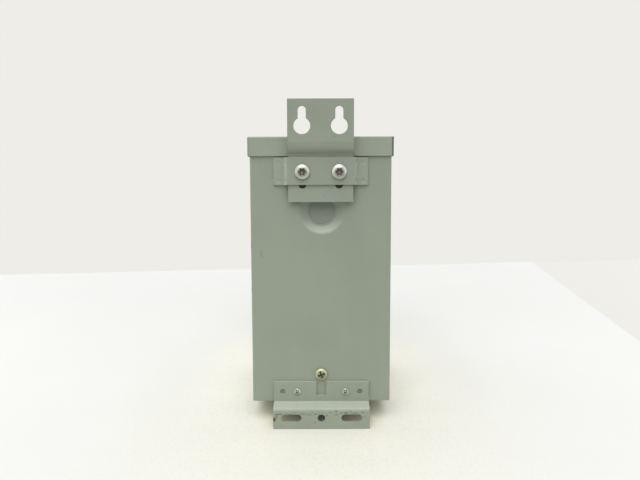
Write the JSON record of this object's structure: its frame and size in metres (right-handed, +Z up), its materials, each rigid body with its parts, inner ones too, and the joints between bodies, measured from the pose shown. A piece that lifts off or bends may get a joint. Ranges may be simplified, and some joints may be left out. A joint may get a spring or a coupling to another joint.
{
  "type": "single-phase transformer",
  "caption": "Wall-mounted single-phase transformer: potted core and coil in a folded steel case, with a wiring compartment, knockouts, a keyhole plate above and a slotted bracket below.",
  "frame": {"origin": "midway between the round openings of the two keyholes, on the plane of the wall that the brackets rest on", "axes": "+Z up the wall, +Y from the wall to the front of the case, +X to the right when the side that faces the wall is looked at"},
  "size_m": [0.121, 0.116, 0.2734],
  "materials": {
    "case_paint": "satin grey-green enamel, fine orange peel",
    "bracket_paint": "satin grey-green enamel, small chips at the edges",
    "zinc": "bright zinc plating",
    "yellow_zinc": "yellow zinc plating",
    "lamination": "dark oxide on cut steel sheet",
    "copper": "enamelled copper",
    "former": "moulded nylon",
    "insulation": "film and paper",
    "resin": "cast, slightly grainy top",
    "lead_h": "satin insulation",
    "lead_x": "satin insulation",
    "green_zinc": "green dyed plating"
  },
  "bodies": {
    "root": {"case_wrap": "case_paint", "front_panel": "case_paint", "bottom_pan": "case_paint", "cover": "case_paint", "strap": "bracket_paint", "upper_bracket": "bracket_paint", "lower_bracket": "bracket_paint", "cover_screws": "zinc", "cover_nuts": "zinc", "strap_screws": "zinc", "bracket_rivets": "zinc", "core_bolts": "zinc", "core_nuts": "zinc", "ground_stud": "zinc", "ground_washer": "zinc", "core_screw": "yellow_zinc", "core_e_stack": "lamination", "core_i_stack": "lamination", "core_foot": "lamination", "primary_winding": "copper", "secondary_winding": "copper", "lead_conductors": "copper", "coil_former": "former", "winding_barrier": "insulation", "coil_tape": "insulation", "resin_fill": "resin", "lead_h1": "lead_h", "lead_h2": "lead_h", "lead_h3": "lead_h", "lead_h4": "lead_h", "lead_x1": "lead_x", "lead_x2": "lead_x", "lead_x3": "lead_x", "lead_x4": "lead_x", "ground_nut": "green_zinc"}
  },
  "joints": []
}
